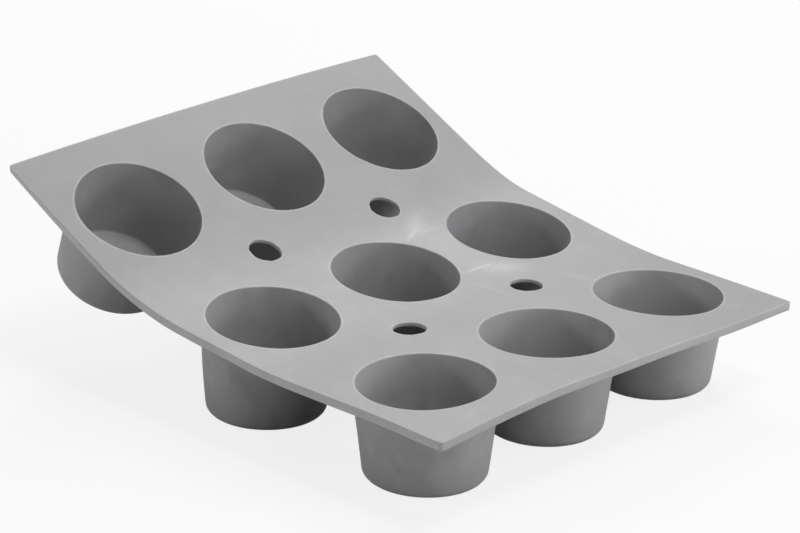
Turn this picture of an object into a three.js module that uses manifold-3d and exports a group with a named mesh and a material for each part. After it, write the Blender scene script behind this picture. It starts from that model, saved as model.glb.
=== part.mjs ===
// Silicone mini muffin mould: a thin sheet with rows of round cups, its rear row curled up off the table.
// Millimetres, +Z up. The rows run along X, and the sheet runs along Y from its front edge to its rear edge.
// The moulding is one body of silicone. Its regions are separate meshes, parted by a narrow seam: the strip
// of sheet round each row of mouths, the webs between the rows, which bend, the cup walls and the cup floors.

import * as THREE from 'three';
import { mergeVertices } from 'three/addons/utils/BufferGeometryUtils.js';
import Module from 'manifold-3d';

// The sheet, laid flat
const sheetWidth = 176;
const sheetLength = 210;
const sheetThickness = 1.5;
const edgeThickness = 3; // of the band that stiffens the sheet all round
const edgeWidth = 3.5;
const sideMargin = 7; // from the last mouth of a row to the sheet's side
const rowPitch = 69.5; // from row to row, along the sheet
const mouthLand = 2.2; // sheet that stays stiff between a mouth and the web beside it

// One cup
const mouthDiameter = 45;
const floorDiameter = 38; // inside, where the wall meets the floor
const cupDepth = 30.4;
const wallThickness = 1.5;
const floorThickness = 3;
const rootFillet = 0.8; // where the wall leaves the sheet's underside
const innerCornerRadius = 0.8;
const baseCornerRadius = 2.8;
const pushDiscDiameter = 28; // middle of the floor that can be pushed up

// The air holes in the webs
const airHoleDiameter = 11.4;

// The curl: how far each row's middle is lifted, how it slopes along the sheet and rolls along the row,
// how much more it slopes at its right-hand cup, and how much higher its end cups sit than a straight row's
const frontRowTwist = 0.4;
const frontRowBow = -0.6;
const middleRowLift = 2.7;
const middleRowSlope = 7.5;
const middleRowRoll = 1.5;
const middleRowTwist = 1.1;
const rearRowLift = 25.3;
const rearRowSlope = 27.5;
const rearRowRoll = 2.8;
const rearRowTwist = -0.6;
const rearRowBow = -0.85;

// Seam between regions of the moulding, and how round things are cut into facets
const seam = 0.3;
const roundSteps = 36;
const cornerSteps = 2;
const sheetSteps = 8; // along a row
const webSteps = 6; // across a web

const mouthRadius = mouthDiameter / 2;
const floorRadius = floorDiameter / 2;
const cupPitch = sheetWidth / 2 - sideMargin - mouthRadius; // along a row
const cupHeight = cupDepth + floorThickness;
const draft = (mouthRadius - floorRadius) / cupDepth;
const stripHalf = mouthRadius + mouthLand;
const webLength = rowPitch - 2 * stripHalf;
const edgeMargin = (sheetLength - 2 * rowPitch) / 2;
const quarterTurn = Math.PI / 2;

const silicone = new THREE.MeshStandardMaterial({ color: 0x8f9194, roughness: 0.55, metalness: 0 });

const wasm = await Module();
wasm.setup();

function toSolid(geometry) {
  const bare = geometry.clone();
  bare.deleteAttribute('normal');
  bare.deleteAttribute('uv');
  const merged = mergeVertices(bare, 1e-4);
  const mesh = new wasm.Mesh({
    numProp: 3,
    vertProperties: new Float32Array(merged.attributes.position.array),
    triVerts: new Uint32Array(merged.index.array),
  });
  return new wasm.Manifold(mesh);
}

function toGeometry(solid) {
  const mesh = solid.getMesh();
  const geometry = new THREE.BufferGeometry();
  geometry.setAttribute('position', new THREE.BufferAttribute(new Float32Array(mesh.vertProperties), 3));
  geometry.setIndex(new THREE.BufferAttribute(new Uint32Array(mesh.triVerts), 1));
  geometry.computeVertexNormals();
  return geometry;
}

function namedMesh(name, geometry) {
  const mesh = new THREE.Mesh(geometry, silicone);
  mesh.name = name;
  return mesh;
}

function movePoints(geometry, move) {
  const position = geometry.attributes.position;
  const point = new THREE.Vector3();
  for (let i = 0; i < position.count; i++) {
    point.fromBufferAttribute(position, i);
    position.setXYZ(i, ...move(point).toArray());
  }
  geometry.computeVertexNormals();
  return geometry;
}

function arc(centreX, centreY, radius, start, end) {
  const points = [];
  for (let i = 0; i <= cornerSteps; i++) {
    const angle = THREE.MathUtils.lerp(start, end, i / cornerSteps);
    points.push(new THREE.Vector2(centreX + radius * Math.cos(angle), centreY + radius * Math.sin(angle)));
  }
  return points;
}

// A row's frame lies in the sheet's top face, at the middle of the row. The front row stands level.
function rowFrame(y, lift, slope, roll) {
  const turn = new THREE.Matrix4().makeRotationX(THREE.MathUtils.degToRad(slope));
  turn.multiply(new THREE.Matrix4().makeRotationY(-THREE.MathUtils.degToRad(roll)));
  return turn.setPosition(0, y, cupHeight + lift);
}

// How far apart two rows stand when the sheet between them folds halfway
function rowStep(slopeA, slopeB) {
  const reach = (slope) => Math.cos(THREE.MathUtils.degToRad(slope)) * rowPitch / 2;
  return reach(slopeA) + reach(slopeB);
}

const middleRowY = rowStep(0, middleRowSlope);
const rearRowY = middleRowY + rowStep(middleRowSlope, rearRowSlope);
const rows = [
  {
    name: 'front',
    frame: rowFrame(0, 0, 0, 0),
    slope: 0,
    twist: frontRowTwist,
    bow: frontRowBow,
    stands: true,
  },
  {
    name: 'middle',
    frame: rowFrame(middleRowY, middleRowLift, middleRowSlope, middleRowRoll),
    slope: middleRowSlope,
    twist: middleRowTwist,
    bow: 0,
    stands: true,
  },
  {
    name: 'rear',
    frame: rowFrame(rearRowY, rearRowLift, rearRowSlope, rearRowRoll),
    slope: rearRowSlope,
    twist: rearRowTwist,
    bow: rearRowBow,
    stands: false,
  },
];
const columns = [
  { name: 'left', x: -cupPitch },
  { name: 'centre', x: 0 },
  { name: 'right', x: cupPitch },
];

// The directions of the sheet at a place in a row: across it, along it and up out of it
function rowDirections(row, x) {
  const slope = THREE.MathUtils.degToRad(row.slope + row.twist * x / cupPitch);
  const along = new THREE.Vector3(0, Math.cos(slope), Math.sin(slope));
  const across = new THREE.Vector3().setFromMatrixColumn(row.frame, 0);
  const up = across.clone().cross(along).normalize();
  return { across, along, up };
}

function rowPoint(row, x, y, depth) {
  const { across, along, up } = rowDirections(row, x);
  const arch = row.bow * (x / cupPitch) ** 2;
  return new THREE.Vector3().setFromMatrixPosition(row.frame)
    .addScaledVector(across, x)
    .addScaledVector(along, y)
    .addScaledVector(up, arch - depth);
}

// A point of the web between two rows: it leaves one strip's edge and meets the other's in line with both.
function webPoint(from, to, x, share, depth) {
  const start = rowPoint(from, x, stripHalf, depth);
  const end = rowPoint(to, x, -stripHalf, depth);
  const leave = rowDirections(from, x).along.multiplyScalar(webLength);
  const meet = rowDirections(to, x).along.multiplyScalar(webLength);
  const t2 = share * share;
  const t3 = t2 * share;
  return new THREE.Vector3()
    .addScaledVector(start, 2 * t3 - 3 * t2 + 1)
    .addScaledVector(leave, t3 - 2 * t2 + share)
    .addScaledVector(end, 3 * t2 - 2 * t3)
    .addScaledVector(meet, t3 - t2);
}

// A slab from one depth below the sheet's top to another, bent to its place
function slabSolid(width, start, end, top, bottom, steps, bend) {
  const slab = new THREE.BoxGeometry(width, end - start, bottom - top, sheetSteps, steps, 1);
  slab.translate(0, (start + end) / 2, -(top + bottom) / 2);
  return toSolid(movePoints(slab, (p) => bend(p.x, p.y, -p.z)));
}

// A length of the sheet, hollowed from below inside the band that runs along its sides and its own edge
function sheetSolid(start, end, startsAtEdge, endsAtEdge, steps, bend) {
  const slab = slabSolid(sheetWidth, start, end, 0, edgeThickness, steps, bend);
  const hollowStart = startsAtEdge ? start + edgeWidth : start - edgeWidth;
  const hollowEnd = endsAtEdge ? end - edgeWidth : end + edgeWidth;
  const hollowWidth = sheetWidth - 2 * edgeWidth;
  return slab.subtract(
    slabSolid(hollowWidth, hollowStart, hollowEnd, sheetThickness, 2 * edgeThickness, steps, bend));
}

// The strip of sheet round a row's mouths. The front and rear strips reach to the sheet's own edge.
function stripGeometry(row) {
  const atFront = row.name === 'front';
  const atRear = row.name === 'rear';
  const start = atFront ? -edgeMargin : -stripHalf;
  const end = atRear ? edgeMargin : stripHalf;
  let solid = sheetSolid(start, end, atFront, atRear, 1, (x, y, depth) => rowPoint(row, x, y, depth));
  const reach = 2 * sheetThickness;
  const mouth = [
    new THREE.Vector2(0, -reach),
    new THREE.Vector2(mouthRadius - draft * reach, -reach),
    new THREE.Vector2(mouthRadius + draft * reach, reach),
    new THREE.Vector2(0, reach),
  ];
  for (const column of columns) {
    const cutter = new THREE.LatheGeometry(mouth, roundSteps).rotateX(quarterTurn);
    solid = solid.subtract(toSolid(cutter.applyMatrix4(cupFrame(row, column))));
  }
  return toGeometry(solid);
}

// A web has an air hole midway between each two cups of a row.
function webGeometry(from, to) {
  const bend = (x, y, depth) => webPoint(from, to, x, 0.5 + y / webLength, depth);
  const reach = webLength / 2 - seam;
  let solid = sheetSolid(-reach, reach, false, false, webSteps, bend);
  for (const column of columns.slice(1)) {
    const x = column.x - cupPitch / 2;
    const top = webPoint(from, to, x, 0.5, 0);
    const through = webPoint(from, to, x, 0.5, sheetThickness).sub(top).negate().normalize();
    const drill = new THREE.CylinderGeometry(
      airHoleDiameter / 2, airHoleDiameter / 2, 4 * sheetThickness, roundSteps);
    drill.applyQuaternion(new THREE.Quaternion().setFromUnitVectors(new THREE.Vector3(0, 1, 0), through));
    drill.translate(...top.toArray());
    solid = solid.subtract(toSolid(drill));
  }
  return toGeometry(solid);
}

// A cup's frame lies in its mouth, square to the sheet there.
function cupFrame(row, column) {
  const { across, along, up } = rowDirections(row, column.x);
  across.addScaledVector(up, 2 * row.bow * column.x / cupPitch ** 2);
  up.crossVectors(across, along).normalize();
  across.crossVectors(along, up);
  return new THREE.Matrix4().makeBasis(across, along, up).setPosition(rowPoint(row, column.x, 0, 0));
}

// A cup hangs square below its mouth. In a row that stands, its soft wall gives, so that its base lies
// level on the table. The base's place is given in the cup's own frame.
function basePlace(row, column) {
  const mouth = cupFrame(row, column);
  const square = new THREE.Matrix4().makeTranslation(0, 0, -cupHeight);
  if (!row.stands) {
    return square;
  }
  const foot = new THREE.Vector3(0, 0, -cupHeight).applyMatrix4(mouth);
  const level = new THREE.Matrix4().makeTranslation(foot.x, foot.y, 0);
  return mouth.invert().multiply(level);
}

// The wall's section, from the mouth down the inside to the base ring, and up the outside to the sheet
function wallProfile(top) {
  const ringInside = pushDiscDiameter / 2 + seam;
  const baseRadius = mouthRadius - draft * cupHeight + wallThickness;
  const rootRadius = mouthRadius - draft * top + wallThickness;
  const start = new THREE.Vector2(mouthRadius - draft * top, -top);
  return [
    start,
    ...arc(floorRadius - innerCornerRadius, innerCornerRadius - cupDepth, innerCornerRadius, 0, -quarterTurn),
    new THREE.Vector2(ringInside, -cupDepth),
    new THREE.Vector2(ringInside, -cupHeight),
    ...arc(baseRadius - baseCornerRadius, baseCornerRadius - cupHeight, baseCornerRadius, -quarterTurn, 0),
    ...arc(rootRadius + rootFillet, -top - rootFillet, rootFillet, 2 * quarterTurn, quarterTurn),
    start,
  ];
}

function wallGeometry(base) {
  const top = sheetThickness + seam;
  const levelDepth = cupDepth - innerCornerRadius;
  const wall = new THREE.LatheGeometry(wallProfile(top), roundSteps).rotateX(quarterTurn);
  return movePoints(wall, (p) => {
    const settled = new THREE.Vector3(p.x, p.y, p.z + cupHeight).applyMatrix4(base);
    const share = THREE.MathUtils.clamp((-p.z - top) / (levelDepth - top), 0, 1);
    return p.lerp(settled, share);
  });
}

function floorMesh(name, base) {
  const radius = pushDiscDiameter / 2;
  const disc = new THREE.CylinderGeometry(radius, radius, floorThickness, roundSteps);
  const mesh = namedMesh(name, disc.rotateX(quarterTurn).translate(0, 0, floorThickness / 2));
  mesh.applyMatrix4(base);
  return mesh;
}

const mould = new THREE.Group();
for (const row of rows) {
  mould.add(namedMesh(`${row.name}_row_sheet`, stripGeometry(row)));
  for (const column of columns) {
    const base = basePlace(row, column);
    const cup = new THREE.Group();
    cup.applyMatrix4(cupFrame(row, column));
    cup.add(namedMesh(`${row.name}_${column.name}_cup_wall`, wallGeometry(base)));
    cup.add(floorMesh(`${row.name}_${column.name}_cup_floor`, base));
    mould.add(cup);
  }
}
mould.add(namedMesh('front_flex_web', webGeometry(rows[0], rows[1])));
mould.add(namedMesh('rear_flex_web', webGeometry(rows[1], rows[2])));

// The origin is on the table, under the middle of the mould.
mould.updateMatrixWorld(true);
const box = new THREE.Box3().setFromObject(mould, true);
const middle = box.getCenter(new THREE.Vector3());
mould.position.set(-middle.x, -middle.y, -box.min.z);

export default mould;
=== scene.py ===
from math import cos, exp, pi, radians, sin

import bmesh
import bpy
from mathutils import Matrix, Vector, noise


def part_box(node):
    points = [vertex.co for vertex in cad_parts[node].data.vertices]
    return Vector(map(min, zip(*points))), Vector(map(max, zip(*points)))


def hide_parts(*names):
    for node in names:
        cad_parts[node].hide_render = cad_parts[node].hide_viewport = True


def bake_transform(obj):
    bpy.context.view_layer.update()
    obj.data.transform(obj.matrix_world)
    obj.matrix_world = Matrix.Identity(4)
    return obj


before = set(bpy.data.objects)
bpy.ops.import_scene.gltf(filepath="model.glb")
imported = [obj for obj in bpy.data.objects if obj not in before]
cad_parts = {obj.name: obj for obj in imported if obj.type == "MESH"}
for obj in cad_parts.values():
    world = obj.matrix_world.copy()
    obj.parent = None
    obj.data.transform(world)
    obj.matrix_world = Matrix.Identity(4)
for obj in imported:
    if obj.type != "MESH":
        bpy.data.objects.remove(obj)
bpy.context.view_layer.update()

scene = bpy.context.scene
print("frame loaded,", len(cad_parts), "nodes")


# The mould laid flat: rows run along x, and the sheet runs along y with the middle row at zero.
mould = {
    "halfWidth": 0.088,
    "endMargin": 0.0355,      # from the front or rear row's middle to the sheet's own edge
    "stripHalf": 0.0247,      # half the strip round a row of mouths that a pose leaves alone
    "flatHalf": 0.017,        # half the strip that the curl leaves flat
    "cupPitch": 0.0585,
    "rowPitch": 0.0695,
    "thickness": 0.0015,
    "edgeThickness": 0.003,   # of the band that stiffens the sheet all round
    "edgeWidth": 0.0035,
    "mouthRadius": 0.0225,
    "lip": 0.001,             # ring of the sheet's top that belongs to a cup
    "cupHeight": 0.0334,
    "sharpAngle": 0.7,        # in radians, where the shading breaks
}
tolerance = 1e-6              # in metres
# Each row's lift, slope and roll at its middle, the slope it gains by its right-hand cup, and its bow there
curl = {
    "front": {"lift": 0, "slope": 0, "roll": 0, "twist": 0.4, "bow": -0.0006},
    "middle": {"lift": 0.0027, "slope": 7.5, "roll": 1.5, "twist": 1.1, "bow": 0},
    "rear": {"lift": 0.0253, "slope": 27.5, "roll": 2.8, "twist": -0.6, "bow": -0.00085},
}
dents = [                     # swells and hollows left by handling: x, y, height, reach along x and y
    (-0.088, 0.046, 0.0009, 0.02, 0.018),
    (-0.088, 0.010, -0.0003, 0.02, 0.018),
    (0, 0.0695, -0.0004, 0.03, 0.03),
    (-0.088, -0.052, -0.0006, 0.02, 0.025),
    (-0.088, -0.105, -0.0012, 0.018, 0.03),
    (-0.038, -0.105, 0.0008, 0.025, 0.02),
    (0.056, -0.105, -0.0007, 0.025, 0.02),
]
# Corners pulled aside: x, y, shift along x and y, reach along x and y, and the share of it at the underside
pulls = [
    (-0.088, 0.105, -0.0011, 0, 0.008, 0.035, 0),
    (-0.088, -0.105, -0.0006, 0.0006, 0.018, 0.018, 1),
    (0.088, -0.105, -0.0003, 0.0003, 0.018, 0.018, 1),
]
# Folds that run out from the middle cup: middle, direction in degrees, reach along and across, rise,
# and how strong the painted sheen along the fold is, drawn as a paler colour
folds = [
    (0.0250, 0.0165, 27, 0.0085, 0.0020, 0, 0.65),
    (0.0300, 0.0190, 45, 0.0120, 0.0080, 0.0003, 0.4),
    (0.0360, 0.0240, 40, 0.0150, 0.0060, 0.0002, 0.25),
    (0.0325, 0.0158, 4, 0.0090, 0.0016, 0, 0.25),
    (0.0250, -0.0146, -4, 0.0105, 0.0017, 0, 0.7),
    (0.0345, -0.0195, -35, 0.0170, 0.0085, 0.0004, 0.6),
    (0.0172, -0.0265, -80, 0.0120, 0.0013, 0, 0.4),
    (0.0495, -0.0425, -75, 0.0120, 0.0055, 0.0002, 0.3),
    (0.0300, 0.0000, 0, 0.0280, 0.0340, 0, 0.25),
    (0.0312, -0.0150, 30, 0.0017, 0.0009, 0, 1),
]
rowNames = ("front", "middle", "rear")
columnPlaces = {"left": -mould["cupPitch"], "centre": 0, "right": mould["cupPitch"]}
halfLength = mould["rowPitch"] + mould["endMargin"]


# A row's middle, in the sheet's top face, and the way it runs across the sheet
def placeRows():
    low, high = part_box("front_centre_cup_floor")
    middle = Vector(((low[0] + high[0]) / 2, (low[1] + high[1]) / 2, 0))
    before = None
    for name in rowNames:
        row = curl[name]
        if before:
            reach = cos(radians(before["slope"])) + cos(radians(row["slope"]))
            middle.y += reach * mould["rowPitch"] / 2
        middle.z = mould["cupHeight"] + row["lift"]
        row["middle"] = middle.copy()
        turn = Matrix.Rotation(radians(row["slope"]), 3, "X") @ Matrix.Rotation(-radians(row["roll"]), 3, "Y")
        row["across"] = turn.col[0].copy()
        before = row


placeRows()


def alongRow(row, x):
    slope = radians(row["slope"] + row["twist"] * x / mould["cupPitch"])
    return Vector((0, cos(slope), sin(slope)))


def rowPoint(row, x, y, z):
    along = alongRow(row, x)
    up = row["across"].cross(along).normalized()
    arch = row["bow"] * (x / mould["cupPitch"]) ** 2
    return row["middle"] + row["across"] * x + along * y + up * (arch + z)


def dentedHeight(flat):
    height = flat.z
    for x, y, rise, reachX, reachY in dents:
        height += rise * exp(-(((flat.x - x) / reachX) ** 2) - ((flat.y - y) / reachY) ** 2)
    for x, y, turn, reach, width, rise, paintedSheen in folds:
        away = Matrix.Rotation(-radians(turn), 2) @ (flat.to_2d() - Vector((x, y)))
        height += rise * max(0, 1 - Vector((away.x / reach, away.y / width)).length) ** 2
    return height


def pulledAside(flat):
    aside = Vector((0, 0, 0))
    for x, y, shiftX, shiftY, reachX, reachY, below in pulls:
        share = exp(-(((flat.x - x) / reachX) ** 2) - ((flat.y - y) / reachY) ** 2)
        share *= 1 + (1 - below) * max(-1, flat.z / mould["edgeThickness"])
        aside += Vector((shiftX, shiftY, 0)) * share
    return aside


# Where a point of the flat sheet lies once the mould is curled
def curled(flat):
    flat = Vector((flat.x, flat.y, dentedHeight(flat))) + pulledAside(flat)
    index = min(2, max(0, round(flat.y / mould["rowPitch"]) + 1))
    local = flat.y - (index - 1) * mould["rowPitch"]
    if local > mould["flatHalf"] and index < 2:
        return bentPoint(index, local - mould["flatHalf"], flat)
    if local < -mould["flatHalf"] and index > 0:
        return bentPoint(index - 1, local + mould["rowPitch"] - mould["flatHalf"], flat)
    return rowPoint(curl[rowNames[index]], flat.x, local, flat.z)


# Between two rows the sheet leaves one and meets the next in line with both.
def bentPoint(index, distance, flat):
    near, far = curl[rowNames[index]], curl[rowNames[index + 1]]
    length = mould["rowPitch"] - 2 * mould["flatHalf"]
    t = distance / length
    start = rowPoint(near, flat.x, mould["flatHalf"], flat.z)
    end = rowPoint(far, flat.x, -mould["flatHalf"], flat.z)
    leave = alongRow(near, flat.x) * length
    meet = alongRow(far, flat.x) * length
    return (
        start * (2 * t**3 - 3 * t**2 + 1)
        + leave * (t**3 - 2 * t**2 + t)
        + end * (3 * t**2 - 2 * t**3)
        + meet * (t**3 - t**2)
    )


# A cup's frame lies in its mouth, square to the sheet there.
def cupFrame(name, x):
    row = curl[name]
    along = alongRow(row, x)
    up = row["across"].cross(along).normalized()
    across = row["across"] + up * (2 * row["bow"] * x / mould["cupPitch"] ** 2)
    up = across.cross(along).normalized()
    turn = Matrix((along.cross(up), along, up)).transposed().to_4x4()
    return Matrix.Translation(rowPoint(row, x, 0, 0)) @ turn


def finishMesh(bm, name, material):
    bmesh.ops.recalc_face_normals(bm, faces=bm.faces[:])
    for face in bm.faces:
        face.smooth = True
    for edge in bm.edges:
        edge.smooth = not edge.is_manifold or edge.calc_face_angle(0) < mould["sharpAngle"]
    mesh = bpy.data.meshes.new(name)
    bm.to_mesh(mesh)
    bm.free()
    piece = bpy.data.objects.new(name, mesh)
    scene.collection.objects.link(piece)
    mesh.materials.append(material)
    return piece


# Silicone finish, with the values that the sheet and the cups share
silicone = {
    "colour": (0.417, 0.418, 0.427, 1),
    "shade": (0.37, 0.372, 0.381, 1),
    "dust": (0.5, 0.5, 0.5, 1),
    "stain": (0.3, 0.304, 0.308, 1),
    # paler colour of the painted sheen along the folds
    "foldSheen": (0.56, 0.56, 0.566, 1),
    # paler colour of edge wear, of painted highlight on edges and lips, and of painted light on the cup
    # floors
    "wornAndLit": (0.624, 0.624, 0.63, 1),
    "speck": (0.66, 0.66, 0.66, 1),
    "ior": 1.41,
    "roughness": (0.44, 0.56),
    "dustGloss": 0.04,        # what dust and a fold take off the roughness
    "foldGloss": 0.1,
    "driftSize": 26,          # sizes in cells per metre
    "smudgeSize": 120,
    "stainSize": 70,
    "speckSize": 110,
    "speckRadius": 0.05,      # in cells
    "grainSize": 2400,
    # Lowest and highest of a noise, between which its effect grows
    "noiseRange": (0.3, 0.7),
    "dustRange": (0.5, 0.75),
    "stainRange": (0.61, 0.74),
    "speckRange": (0.9, 0.92),
    "grainRange": (0.35, 0.65),
    "grainTone": 0.2,
    "grainBump": 0.4,
    "grainDepth": 0.00002,
    # least share of that paler colour of wear and painted light, where the drift is low
    "leastWearAndLight": 0.5,
}


def newNode(tree, kind, **values):
    node = tree.nodes.new("ShaderNode" + kind)
    for name, value in values.items():
        node.inputs[name].default_value = value
    return node


def mathNode(tree, operation, first, second):
    node = tree.nodes.new("ShaderNodeMath")
    node.operation = operation
    for socket, value in zip(node.inputs, (first, second)):
        if isinstance(value, (int, float)):
            socket.default_value = value
        else:
            tree.links.new(value, socket)
    return node.outputs["Value"]


def rangeNode(tree, value, low, high, toLow=0, toHigh=1):
    node = tree.nodes.new("ShaderNodeMapRange")
    for name, number in (("From Min", low), ("From Max", high), ("To Min", toLow), ("To Max", toHigh)):
        node.inputs[name].default_value = number
    tree.links.new(value, node.inputs["Value"])
    return node.outputs["Result"]


def tintNode(tree, colour, tint, share):
    node = tree.nodes.new("ShaderNodeMix")
    node.data_type = "RGBA"
    node.inputs["B"].default_value = tint
    if isinstance(colour, tuple):
        node.inputs["A"].default_value = colour
    else:
        tree.links.new(colour, node.inputs["A"])
    tree.links.new(share, node.inputs["Factor"])
    return node.outputs["Result"]


# Tone, dust, stains, specks and fine grain of moulded silicone, and a paler colour for wear, painted
# highlight and painted light
def siliconeGroup():
    group = bpy.data.node_groups.new("siliconeSurface", "ShaderNodeTree")
    for name in ("Smudge", "Stain", "WearAndPaintedLight"):
        group.interface.new_socket(name, in_out="INPUT", socket_type="NodeSocketFloat")
    for name, kind in (("Colour", "Color"), ("Roughness", "Float"), ("Grain", "Float")):
        group.interface.new_socket(name, in_out="OUTPUT", socket_type="NodeSocket" + kind)
    given, made = group.nodes.new("NodeGroupInput"), group.nodes.new("NodeGroupOutput")
    place = group.nodes.new("ShaderNodeTexCoord").outputs["Object"]
    drift = newNode(group, "TexNoise", Scale=silicone["driftSize"], Detail=5, Roughness=0.62)
    smudge = newNode(
        group, "TexNoise", Scale=silicone["smudgeSize"], Detail=5, Roughness=0.62, Distortion=0.6,
    )
    stain = newNode(group, "TexNoise", Scale=silicone["stainSize"], Detail=2, Distortion=0.3)
    speck = newNode(group, "TexVoronoi", Scale=silicone["speckSize"])
    grain = newNode(group, "TexNoise", Scale=silicone["grainSize"], Detail=2)
    for texture in (drift, smudge, stain, speck, grain):
        group.links.new(place, texture.inputs["Vector"])

    drifting = rangeNode(group, drift.outputs["Fac"], *silicone["noiseRange"])
    smudged = rangeNode(group, smudge.outputs["Fac"], *silicone["dustRange"])
    dusty = mathNode(group, "MULTIPLY", smudged, given.outputs["Smudge"])
    stained = rangeNode(group, stain.outputs["Fac"], *silicone["stainRange"])
    stained = mathNode(group, "MULTIPLY", stained, given.outputs["Stain"])
    radius = silicone["speckRadius"]
    specks = rangeNode(group, speck.outputs["Distance"], radius, 0.5 * radius)
    chance = newNode(group, "SeparateColor")
    group.links.new(speck.outputs["Color"], chance.inputs["Color"])
    kept = rangeNode(group, chance.outputs["Red"], *silicone["speckRange"])
    specks = mathNode(group, "MULTIPLY", specks, kept)
    # paler where the attribute marks wear, painted highlight and painted light
    wornAndLit = rangeNode(group, drift.outputs["Fac"], *silicone["noiseRange"], silicone["leastWearAndLight"], 1)
    wornAndLit = mathNode(group, "MULTIPLY", given.outputs["WearAndPaintedLight"], wornAndLit)
    dotted = rangeNode(group, grain.outputs["Fac"], *silicone["grainRange"], 0, silicone["grainTone"])

    colour = tintNode(group, silicone["shade"], silicone["colour"], drifting)
    colour = tintNode(group, colour, silicone["dust"], dusty)
    colour = tintNode(group, colour, silicone["stain"], stained)
    colour = tintNode(group, colour, silicone["stain"], dotted)
    colour = tintNode(group, colour, silicone["wornAndLit"], wornAndLit)
    colour = tintNode(group, colour, silicone["speck"], specks)
    group.links.new(colour, made.inputs["Colour"])
    rough = rangeNode(group, grain.outputs["Fac"], *silicone["noiseRange"], *silicone["roughness"])
    smoother = mathNode(group, "MULTIPLY", smudged, silicone["dustGloss"])
    group.links.new(mathNode(group, "SUBTRACT", rough, smoother), made.inputs["Roughness"])
    group.links.new(grain.outputs["Fac"], made.inputs["Grain"])
    return group


def siliconeMaterial(name, group, smudge, stain):
    material = bpy.data.materials.new(name)
    material.use_nodes = True
    tree = material.node_tree
    surface = tree.nodes["Principled BSDF"]
    surface.inputs["IOR"].default_value = silicone["ior"]
    finish = tree.nodes.new("ShaderNodeGroup")
    finish.node_tree = group
    finish.inputs["Smudge"].default_value = smudge
    finish.inputs["Stain"].default_value = stain
    # attribute of wear, painted highlight and painted light, set on the meshes
    wearAndPaintedLight = tree.nodes.new("ShaderNodeAttribute")
    wearAndPaintedLight.attribute_name = "wearAndPaintedLight"
    bump = newNode(tree, "Bump", Strength=silicone["grainBump"], Distance=silicone["grainDepth"])
    tree.links.new(wearAndPaintedLight.outputs["Fac"], finish.inputs["WearAndPaintedLight"])
    tree.links.new(finish.outputs["Colour"], surface.inputs["Base Color"])
    tree.links.new(finish.outputs["Roughness"], surface.inputs["Roughness"])
    tree.links.new(finish.outputs["Grain"], bump.inputs["Height"])
    tree.links.new(bump.outputs["Normal"], surface.inputs["Normal"])
    return material


# Along the folds the sheet is painted paler, as a painted sheen, and is a little smoother.
def addFolds(material):
    tree = material.node_tree
    surface = tree.nodes["Principled BSDF"]
    flatPlace = tree.nodes.new("ShaderNodeUVMap")
    flatPlace.uv_map = "flat"
    sheenShare = 0
    for x, y, turn, reach, width, rise, paintedSheen in folds:
        place = newNode(
            tree, "Mapping", Location=(x, y, 0), Rotation=(0, 0, radians(turn)), Scale=(reach, width, 1),
        )
        place.vector_type = "TEXTURE"
        fold = tree.nodes.new("ShaderNodeTexGradient")
        fold.gradient_type = "QUADRATIC_SPHERE"
        tree.links.new(flatPlace.outputs["UV"], place.inputs["Vector"])
        tree.links.new(place.outputs["Vector"], fold.inputs["Vector"])
        sheenShare = mathNode(tree, "ADD", mathNode(tree, "MULTIPLY", fold.outputs["Fac"], paintedSheen), sheenShare)
    colour, rough = (surface.inputs[name].links[0].from_socket for name in ("Base Color", "Roughness"))
    tree.links.new(tintNode(tree, colour, silicone["foldSheen"], sheenShare), surface.inputs["Base Color"])
    smoother = mathNode(tree, "MULTIPLY", sheenShare, silicone["foldGloss"])
    tree.links.new(mathNode(tree, "SUBTRACT", rough, smoother), surface.inputs["Roughness"])


surfaceGroup = siliconeGroup()
sheetSilicone = siliconeMaterial("sheetSilicone", surfaceGroup, smudge=0.2, stain=0.1)
cupSilicone = siliconeMaterial("cupSilicone", surfaceGroup, smudge=0.5, stain=0.6)
addFolds(sheetSilicone)
print("silicone ready")


# The sheet, made flat in one go, cut in two at the middle row and curled
sheet = {
    "cornerRound": 0.0012,
    "cornerSteps": 5,
    "edgeRound": 0.00025,
    "edgeSteps": 3,
    "squareAngle": 1,         # edges sharper than this, in radians, are rounded
    "facingDown": -0.9,       # a face's slope that counts as the underside
    "sideWearAndHighlight": 1,            # wear and painted highlight along the sides, at the ends and on what is rounded
    "endWearAndHighlight": 0.25,
    "cornerWearAndHighlight": 0.5,
    "holeRadius": 0.0057,
    "holeSteps": 64,
    "holeFlash": 0.045,       # how ragged a hole is, against its radius, and how often round it
    "flashSize": 4,
    "flashSpread": 9,         # keeps the holes unlike each other
    "mouthSteps": 96,
    "supportLoop": 0.0007,
    "crossCut": 0.0022,       # spacing of the cuts along x and along y that let it bend
    "lengthCut": 0.002,
}


def ringAt(bm, x, y, radius, steps):
    ring = bmesh.ops.create_circle(bm, segments=steps, radius=radius, matrix=Matrix.Translation((x, y, 0)))
    return ring["verts"]


# An air hole's ring, a little ragged
def holeAt(bm, x, y):
    place = Vector((x * mould["cupPitch"], y * mould["rowPitch"], 0))
    apart = Vector((x, y, 0)) * sheet["flashSpread"]
    for vert in ringAt(bm, place.x, place.y, sheet["holeRadius"], sheet["holeSteps"]):
        away = vert.co - place
        ragged = noise.noise(away.normalized() * sheet["flashSize"] + apart)
        vert.co += away * sheet["holeFlash"] * ragged


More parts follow.
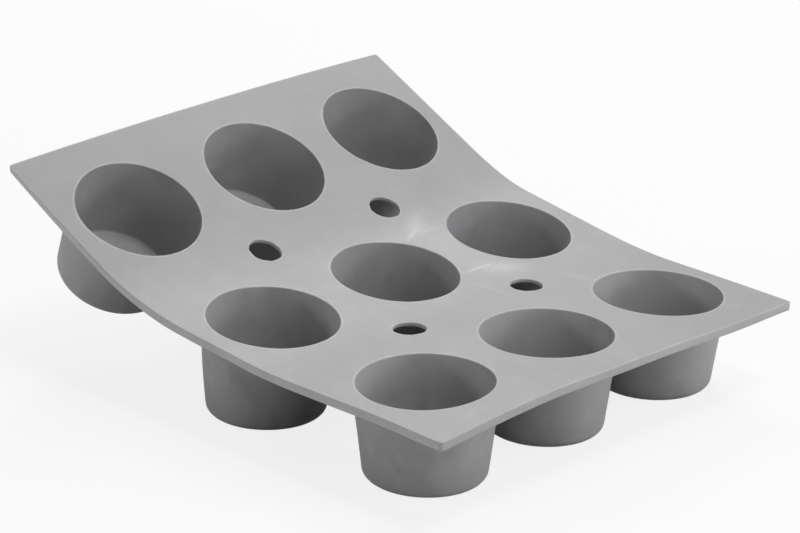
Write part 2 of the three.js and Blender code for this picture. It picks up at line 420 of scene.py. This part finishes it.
# The top face, with the mouths and, midway between four cups, the air holes left open
def sheetOutline(bm):
    corners = [(-1, -1), (1, -1), (1, 1), (-1, 1)]
    verts = [bm.verts.new((x * mould["halfWidth"], y * halfLength, 0)) for x, y in corners]
    for i in range(4):
        bm.edges.new((verts[i], verts[(i + 1) % 4]))
    bmesh.ops.bevel(
        bm, geom=verts, offset=sheet["cornerRound"], segments=sheet["cornerSteps"], profile=0.5,
        affect="VERTICES", material=-1,
    )
    for y in (-mould["rowPitch"], 0, mould["rowPitch"]):
        for x in columnPlaces.values():
            ringAt(bm, x, y, mould["mouthRadius"] + mould["lip"], sheet["mouthSteps"])
    for x in (-0.5, 0.5):
        for y in (-0.5, 0.5):
            holeAt(bm, x, y)
    bmesh.ops.triangle_fill(bm, use_beauty=True, edges=bm.edges[:])


def flatSheet():
    bm = bmesh.new()
    sheetOutline(bm)
    bmesh.ops.recalc_face_normals(bm, faces=bm.faces[:])
    if bm.faces[0].normal.z < 0:
        bmesh.ops.reverse_faces(bm, faces=bm.faces[:])
    bmesh.ops.inset_region(
        bm, faces=bm.faces[:], thickness=sheet["supportLoop"], use_boundary=True, use_even_offset=True,
    )
    bandX, bandY = mould["halfWidth"] - mould["edgeWidth"], halfLength - mould["edgeWidth"]
    for line in ((bandX, 0), (-bandX, 0), (0, bandY), (0, -bandY)):
        cutAcross(bm, Vector((*line, 0)), Vector((*line, 0)))
    pushDown(bm, bm.faces[:], mould["thickness"])
    bmesh.ops.recalc_face_normals(bm, faces=bm.faces[:])

    def inBand(face):
        middle = face.calc_center_median()
        return face.normal.z < sheet["facingDown"] and (abs(middle.x) > bandX or abs(middle.y) > bandY)

    band = [f for f in bm.faces if inBand(f)]
    pushDown(bm, band, mould["edgeThickness"] - mould["thickness"])
    bmesh.ops.delete(bm, geom=band, context="FACES_KEEP_BOUNDARY")
    bmesh.ops.recalc_face_normals(bm, faces=bm.faces[:])
    roundEdges(bm)
    crossCuts(bm, Vector((1, 0, 0)), mould["halfWidth"], sheet["crossCut"])
    crossCuts(bm, Vector((0, 1, 0)), halfLength, sheet["lengthCut"])
    return bm


def pushDown(bm, faces, depth):
    lower = bmesh.ops.extrude_face_region(bm, geom=faces)
    down = [v for v in lower["geom"] if isinstance(v, bmesh.types.BMVert)]
    bmesh.ops.translate(bm, verts=down, vec=(0, 0, -depth))


def cutAcross(bm, place, direction):
    geom = bm.verts[:] + bm.edges[:] + bm.faces[:]
    bmesh.ops.bisect_plane(bm, geom=geom, dist=tolerance, plane_co=place, plane_no=direction)


def isRim(edge):
    first, second = (vert.co for vert in edge.verts)
    middle = (first + second) / 2
    x = middle.x - mould["cupPitch"] * round(middle.x / mould["cupPitch"])
    y = middle.y - mould["rowPitch"] * round(middle.y / mould["rowPitch"])
    atMouth = Vector((x, y)).length < mould["mouthRadius"] + 2 * mould["lip"]
    level = abs(first.z - second.z) < tolerance
    return edge.calc_face_angle(0) > sheet["squareAngle"] and level and not atMouth


# The sheet's outer edges and the air holes are rounded. The mouths are left square, where the cups join.
def roundEdges(bm):
    wearAndPaintedLight = bm.verts.layers.float.new("wearAndPaintedLight")
    rims = [e for e in bm.edges if isRim(e)]
    rounded = bmesh.ops.bevel(
        bm, geom=rims, offset=sheet["edgeRound"], segments=sheet["edgeSteps"], profile=0.5,
        affect="EDGES", material=-1,
    )
    # wear and painted highlight on the rounded edges, the sides and the ends
    for vert in rounded["verts"]:
        vert[wearAndPaintedLight] = sheet["cornerWearAndHighlight"]
    for vert in bm.verts:
        inX, inY = mould["halfWidth"] - abs(vert.co.x), halfLength - abs(vert.co.y)
        if inX < 10 * tolerance:
            vert[wearAndPaintedLight] = sheet["sideWearAndHighlight"]
        elif inY < 10 * tolerance:
            vert[wearAndPaintedLight] = sheet["endWearAndHighlight"]
        elif max(inX, inY) < sheet["cornerRound"]:
            vert[wearAndPaintedLight] = sheet["cornerWearAndHighlight"]


def crossCuts(bm, direction, reach, spacing):
    count = int(2 * reach / spacing)
    for i in range(1, count):
        cutAcross(bm, direction * (2 * reach * i / count - reach), direction)


def sheetHalf(flat, name, side):
    bm = flat.copy()
    geom = bm.verts[:] + bm.edges[:] + bm.faces[:]
    cut = bmesh.ops.bisect_plane(
        bm, geom=geom, dist=tolerance, plane_co=(0, 0, 0), plane_no=(0, side, 0), clear_inner=True,
    )
    seam = [e for e in cut["geom_cut"] if isinstance(e, bmesh.types.BMEdge)]
    bmesh.ops.holes_fill(bm, edges=seam, sides=0)
    flatMap = bm.loops.layers.uv.new("flat")
    for face in bm.faces:
        for loop in face.loops:
            loop[flatMap].uv = loop.vert.co.xy
    for vert in bm.verts:
        vert.co = curled(vert.co)
    return finishMesh(bm, name, sheetSilicone)


wholeSheet = flatSheet()
frontSheet = sheetHalf(wholeSheet, "front_sheet", -1)
rearSheet = sheetHalf(wholeSheet, "rear_sheet", 1)
wholeSheet.free()
webEdge, webFar = mould["stripHalf"], mould["rowPitch"] - mould["stripHalf"]
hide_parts("front_row_sheet", "front_flex_web", "middle_row_sheet")
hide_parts("rear_row_sheet", "rear_flex_web")
curled(Vector((0, -webEdge, 0)))
curled(Vector((0, -webFar, 0)))
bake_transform(frontSheet)
curled(Vector((0, webEdge, 0)))
curled(Vector((0, webFar, 0)))
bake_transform(rearSheet)
print("sheet done,", len(frontSheet.data.polygons) + len(rearSheet.data.polygons), "faces")


# Nine cups, each one spun from its wall's section
cup = {
    "floorRadius": 0.019,
    "depth": 0.0304,
    "wall": 0.0015,
    "lipRound": 0.0002,
    "lipReach": 1.2,          # how far the lip's painted highlight goes, against its rounding
    "lipDepth": 0.0006,       # where that painted highlight has faded
    "lipHighlight": 0.5,
    # painted light on the floor inside each cup
    "cupFloorLight": 0.3,
    "rootRound": 0.0008,
    "insideRound": 0.0006,
    "baseRound": 0.003,
    "bedding": 0.0002,        # how far the root reaches into the sheet
    "stiffening": 0.008,      # depth below the sheet over which a cup turns from the sheet's bend to its own
    "lean": {"rear_left": (-0.0008, 0.0006)},  # how far a hanging cup's base has swung aside
    "steps": 96,
    "roundSteps": 6,
    "longEdge": 0.01,         # edges of the walls, which are cut so that they bend
    "wallCuts": 11,
}
cupHeight = mould["cupHeight"]


def cupSection(bm):
    mouth, under = mould["mouthRadius"], -mould["thickness"]
    draft = (mouth - cup["floorRadius"]) / cup["depth"]
    root = mouth + draft * under + cup["wall"]
    base = mouth - draft * cupHeight + cup["wall"]
    shoulder = root + 2 * cup["rootRound"]
    corners = [                                   # radius, height, rounding
        (mouth + mould["lip"], 0, 0),
        (mouth, 0, cup["lipRound"]),
        (mouth - draft * cup["lipDepth"], -cup["lipDepth"], 0),
        (cup["floorRadius"], -cup["depth"], cup["insideRound"]),
        (0, -cup["depth"], 0),
        (0, -cupHeight, 0),
        (base, -cupHeight, cup["baseRound"]),
        (root, under, cup["rootRound"]),
        (shoulder, under, 0),
        (shoulder, under + cup["bedding"], 0),
        (mouth + mould["lip"], under + cup["bedding"], 0),
    ]
    verts = [bm.verts.new((radius, 0, height)) for radius, height, rounding in corners]
    count = len(verts)
    for i in range(count):
        after = (i + 1) % count
        if corners[i][0] or corners[after][0]:    # the axis stays open
            bm.edges.new((verts[i], verts[after]))
    for vert, (radius, height, rounding) in zip(verts, corners):
        if rounding:
            bmesh.ops.bevel(
                bm, geom=[vert], offset=rounding, segments=cup["roundSteps"], profile=0.5,
                affect="VERTICES", material=-1,
            )


# A standing cup's soft wall gives, so that its base lies level on the table.
def basePlace(row, column, mouth):
    if row == "rear":
        return mouth @ Matrix.Translation((*cup["lean"].get(f"{row}_{column}", (0, 0)), -cupHeight))
    low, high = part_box(f"{row}_{column}_cup_floor")
    return Matrix.Translation(((low[0] + high[0]) / 2, (low[1] + high[1]) / 2, low[2]))


def smoothShare(value, start, end):
    share = min(1, max(0, (value - start) / (end - start)))
    return share * share * (3 - 2 * share)


def makeCup(row, column, x):
    bm = bmesh.new()
    cupSection(bm)
    bmesh.ops.spin(
        bm, geom=bm.verts[:] + bm.edges[:], cent=(0, 0, 0), axis=(0, 0, 1), angle=2 * pi,
        steps=cup["steps"], use_merge=True,
    )
    bmesh.ops.remove_doubles(bm, verts=bm.verts[:], dist=tolerance)
    longEdges = [e for e in bm.edges if abs(e.verts[0].co.z - e.verts[1].co.z) > cup["longEdge"]]
    bmesh.ops.subdivide_edges(bm, edges=longEdges, cuts=cup["wallCuts"])
    wearAndPaintedLight = bm.verts.layers.float.new("wearAndPaintedLight")
    lip = cup["lipReach"] * cup["lipRound"]
    for vert in bm.verts:
        # painted highlight round the lip
        if vert.co.z > -lip and vert.co.to_2d().length - mould["mouthRadius"] < lip:
            vert[wearAndPaintedLight] = cup["lipHighlight"]
        elif abs(vert.co.z + cup["depth"]) < 10 * tolerance:
            # painted light on the floor inside the cup
            vert[wearAndPaintedLight] = cup["cupFloorLight"]
    mouth = cupFrame(row, x)
    base = basePlace(row, column, mouth)
    top, level = mould["thickness"], cup["depth"] - cup["insideRound"]
    along = (rowNames.index(row) - 1) * mould["rowPitch"]
    for vert in bm.verts:
        depth = -vert.co.z
        hung = curled(vert.co + Vector((x, along, 0)))
        hung = hung.lerp(mouth @ vert.co, smoothShare(depth, top, top + cup["stiffening"]))
        settled = base @ (vert.co + Vector((0, 0, cupHeight)))
        vert.co = hung.lerp(settled, min(1, max(0, (depth - top) / (level - top))))
    piece = finishMesh(bm, f"{row}_{column}_cup", cupSilicone)
    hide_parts(f"{row}_{column}_cup_wall", f"{row}_{column}_cup_floor")
    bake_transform(piece)


for row in rowNames:
    for column, x in columnPlaces.items():
        makeCup(row, column, x)
print("cups done")


# Camera, at the photograph's angle
camera = {
    "lens": 132.54,
    "sensorWidth": 36,
    "location": (-0.695113, -0.651221, 0.387351),
    "right": (0.68993, -0.72347, 0.02416),
    "up": (0.23333, 0.25386, 0.93868),
}
cameraData = bpy.data.cameras.new("camera")
cameraData.lens = camera["lens"]
cameraData.sensor_width = camera["sensorWidth"]
cameraObject = bpy.data.objects.new("camera", cameraData)
scene.collection.objects.link(cameraObject)
right, up = Vector(camera["right"]), Vector(camera["up"])
cameraTurn = Matrix((right, up, right.cross(up))).transposed().to_4x4()
cameraObject.matrix_world = Matrix.Translation(camera["location"]) @ cameraTurn
scene.camera = cameraObject


# Floor and light
studio = {
    "floorHalf": 6,
    "floorRoughness": 0.9,
    "floorColour": (0.58, 0.58, 0.58, 1),     # as the object's own bounce light sees it
    "floorShaded": (0.15, 0.15, 0.15, 1),     # the same, under the middle of the mould
    "shadedReach": 0.13,
    "shadedRange": (0.1, 0.5),
    "floorPale": (0.9, 0.9, 0.9, 1),          # as the camera sees it
    "floorWhite": 0.83,       # how much of the floor's look is plain white
    "floorMirrored": 0.3,     # share of that white in reflections, where the object's shade lies
    "sky": 0,
    "lampDistance": 1.2,
    "aimHeight": 0.03,
}
lamps = {                     # azimuth and elevation in degrees, size, watts
    "back": (43, 40, 0.45, 4.9),
    "highRight": (358, 65, 0.6, 3.3),
    "highFront": (275, 70, 0.25, 4.15),
    "front": (268, 40, 0.55, 1.0),
    "lowFront": (268, 15, 0.5, 2.3),
    "lowRight": (313, 15, 0.35, 3.75),
    "lowLeft": (133, 17, 0.2, 2.7),
    "lowNear": (178, 15, 0.5, 1.6),
}


def makeFloor():
    bm = bmesh.new()
    bmesh.ops.create_grid(bm, x_segments=1, y_segments=1, size=studio["floorHalf"])
    mesh = bpy.data.meshes.new("floor")
    bm.to_mesh(mesh)
    bm.free()
    floor = bpy.data.objects.new("floor", mesh)
    scene.collection.objects.link(floor)
    material = bpy.data.materials.new("paleFloor")
    material.use_nodes = True
    tree = material.node_tree
    nodes, links = tree.nodes, tree.links
    surface = nodes["Principled BSDF"]
    surface.inputs["Roughness"].default_value = studio["floorRoughness"]
    path = nodes.new("ShaderNodeLightPath")
    mirrored = mathNode(tree, "MULTIPLY", path.outputs["Is Glossy Ray"], studio["floorMirrored"])
    seen = mathNode(tree, "MAXIMUM", path.outputs["Is Camera Ray"], path.outputs["Is Transmission Ray"])
    seen = mathNode(tree, "MAXIMUM", seen, mirrored)
    place = newNode(tree, "Mapping", Scale=[1 / studio["shadedReach"]] * 3)
    under = nodes.new("ShaderNodeTexGradient")
    under.gradient_type = "SPHERICAL"
    links.new(nodes.new("ShaderNodeTexCoord").outputs["Object"], place.inputs["Vector"])
    links.new(place.outputs["Vector"], under.inputs["Vector"])
    shade = rangeNode(tree, under.outputs["Fac"], *studio["shadedRange"])
    colour = tintNode(tree, studio["floorColour"], studio["floorShaded"], shade)
    links.new(tintNode(tree, colour, studio["floorPale"], seen), surface.inputs["Base Color"])
    white = nodes.new("ShaderNodeEmission")
    mix = nodes.new("ShaderNodeMixShader")
    links.new(mathNode(tree, "MULTIPLY", seen, studio["floorWhite"]), mix.inputs["Fac"])
    links.new(surface.outputs["BSDF"], mix.inputs[1])
    links.new(white.outputs["Emission"], mix.inputs[2])
    links.new(mix.outputs["Shader"], nodes["Material Output"].inputs["Surface"])
    mesh.materials.append(material)


def makeLamp(name, azimuth, elevation, size, watts):
    data = bpy.data.lights.new(name, "AREA")
    data.size = size
    data.energy = watts
    lamp = bpy.data.objects.new(name, data)
    scene.collection.objects.link(lamp)
    turn, rise = radians(azimuth), radians(elevation)
    place = Vector((cos(turn) * cos(rise), sin(turn) * cos(rise), sin(rise))) * studio["lampDistance"]
    aim = Vector((0, 0, studio["aimHeight"])) - place
    lamp.matrix_world = Matrix.Translation(place) @ aim.to_track_quat("-Z", "Y").to_matrix().to_4x4()


makeFloor()
for name, values in lamps.items():
    makeLamp(name, *values)
world = bpy.data.worlds.new("studio")
scene.world = world
world.use_nodes = True
world.node_tree.nodes["Background"].inputs["Strength"].default_value = studio["sky"]
scene.view_settings.view_transform = "Standard"
print("studio done")
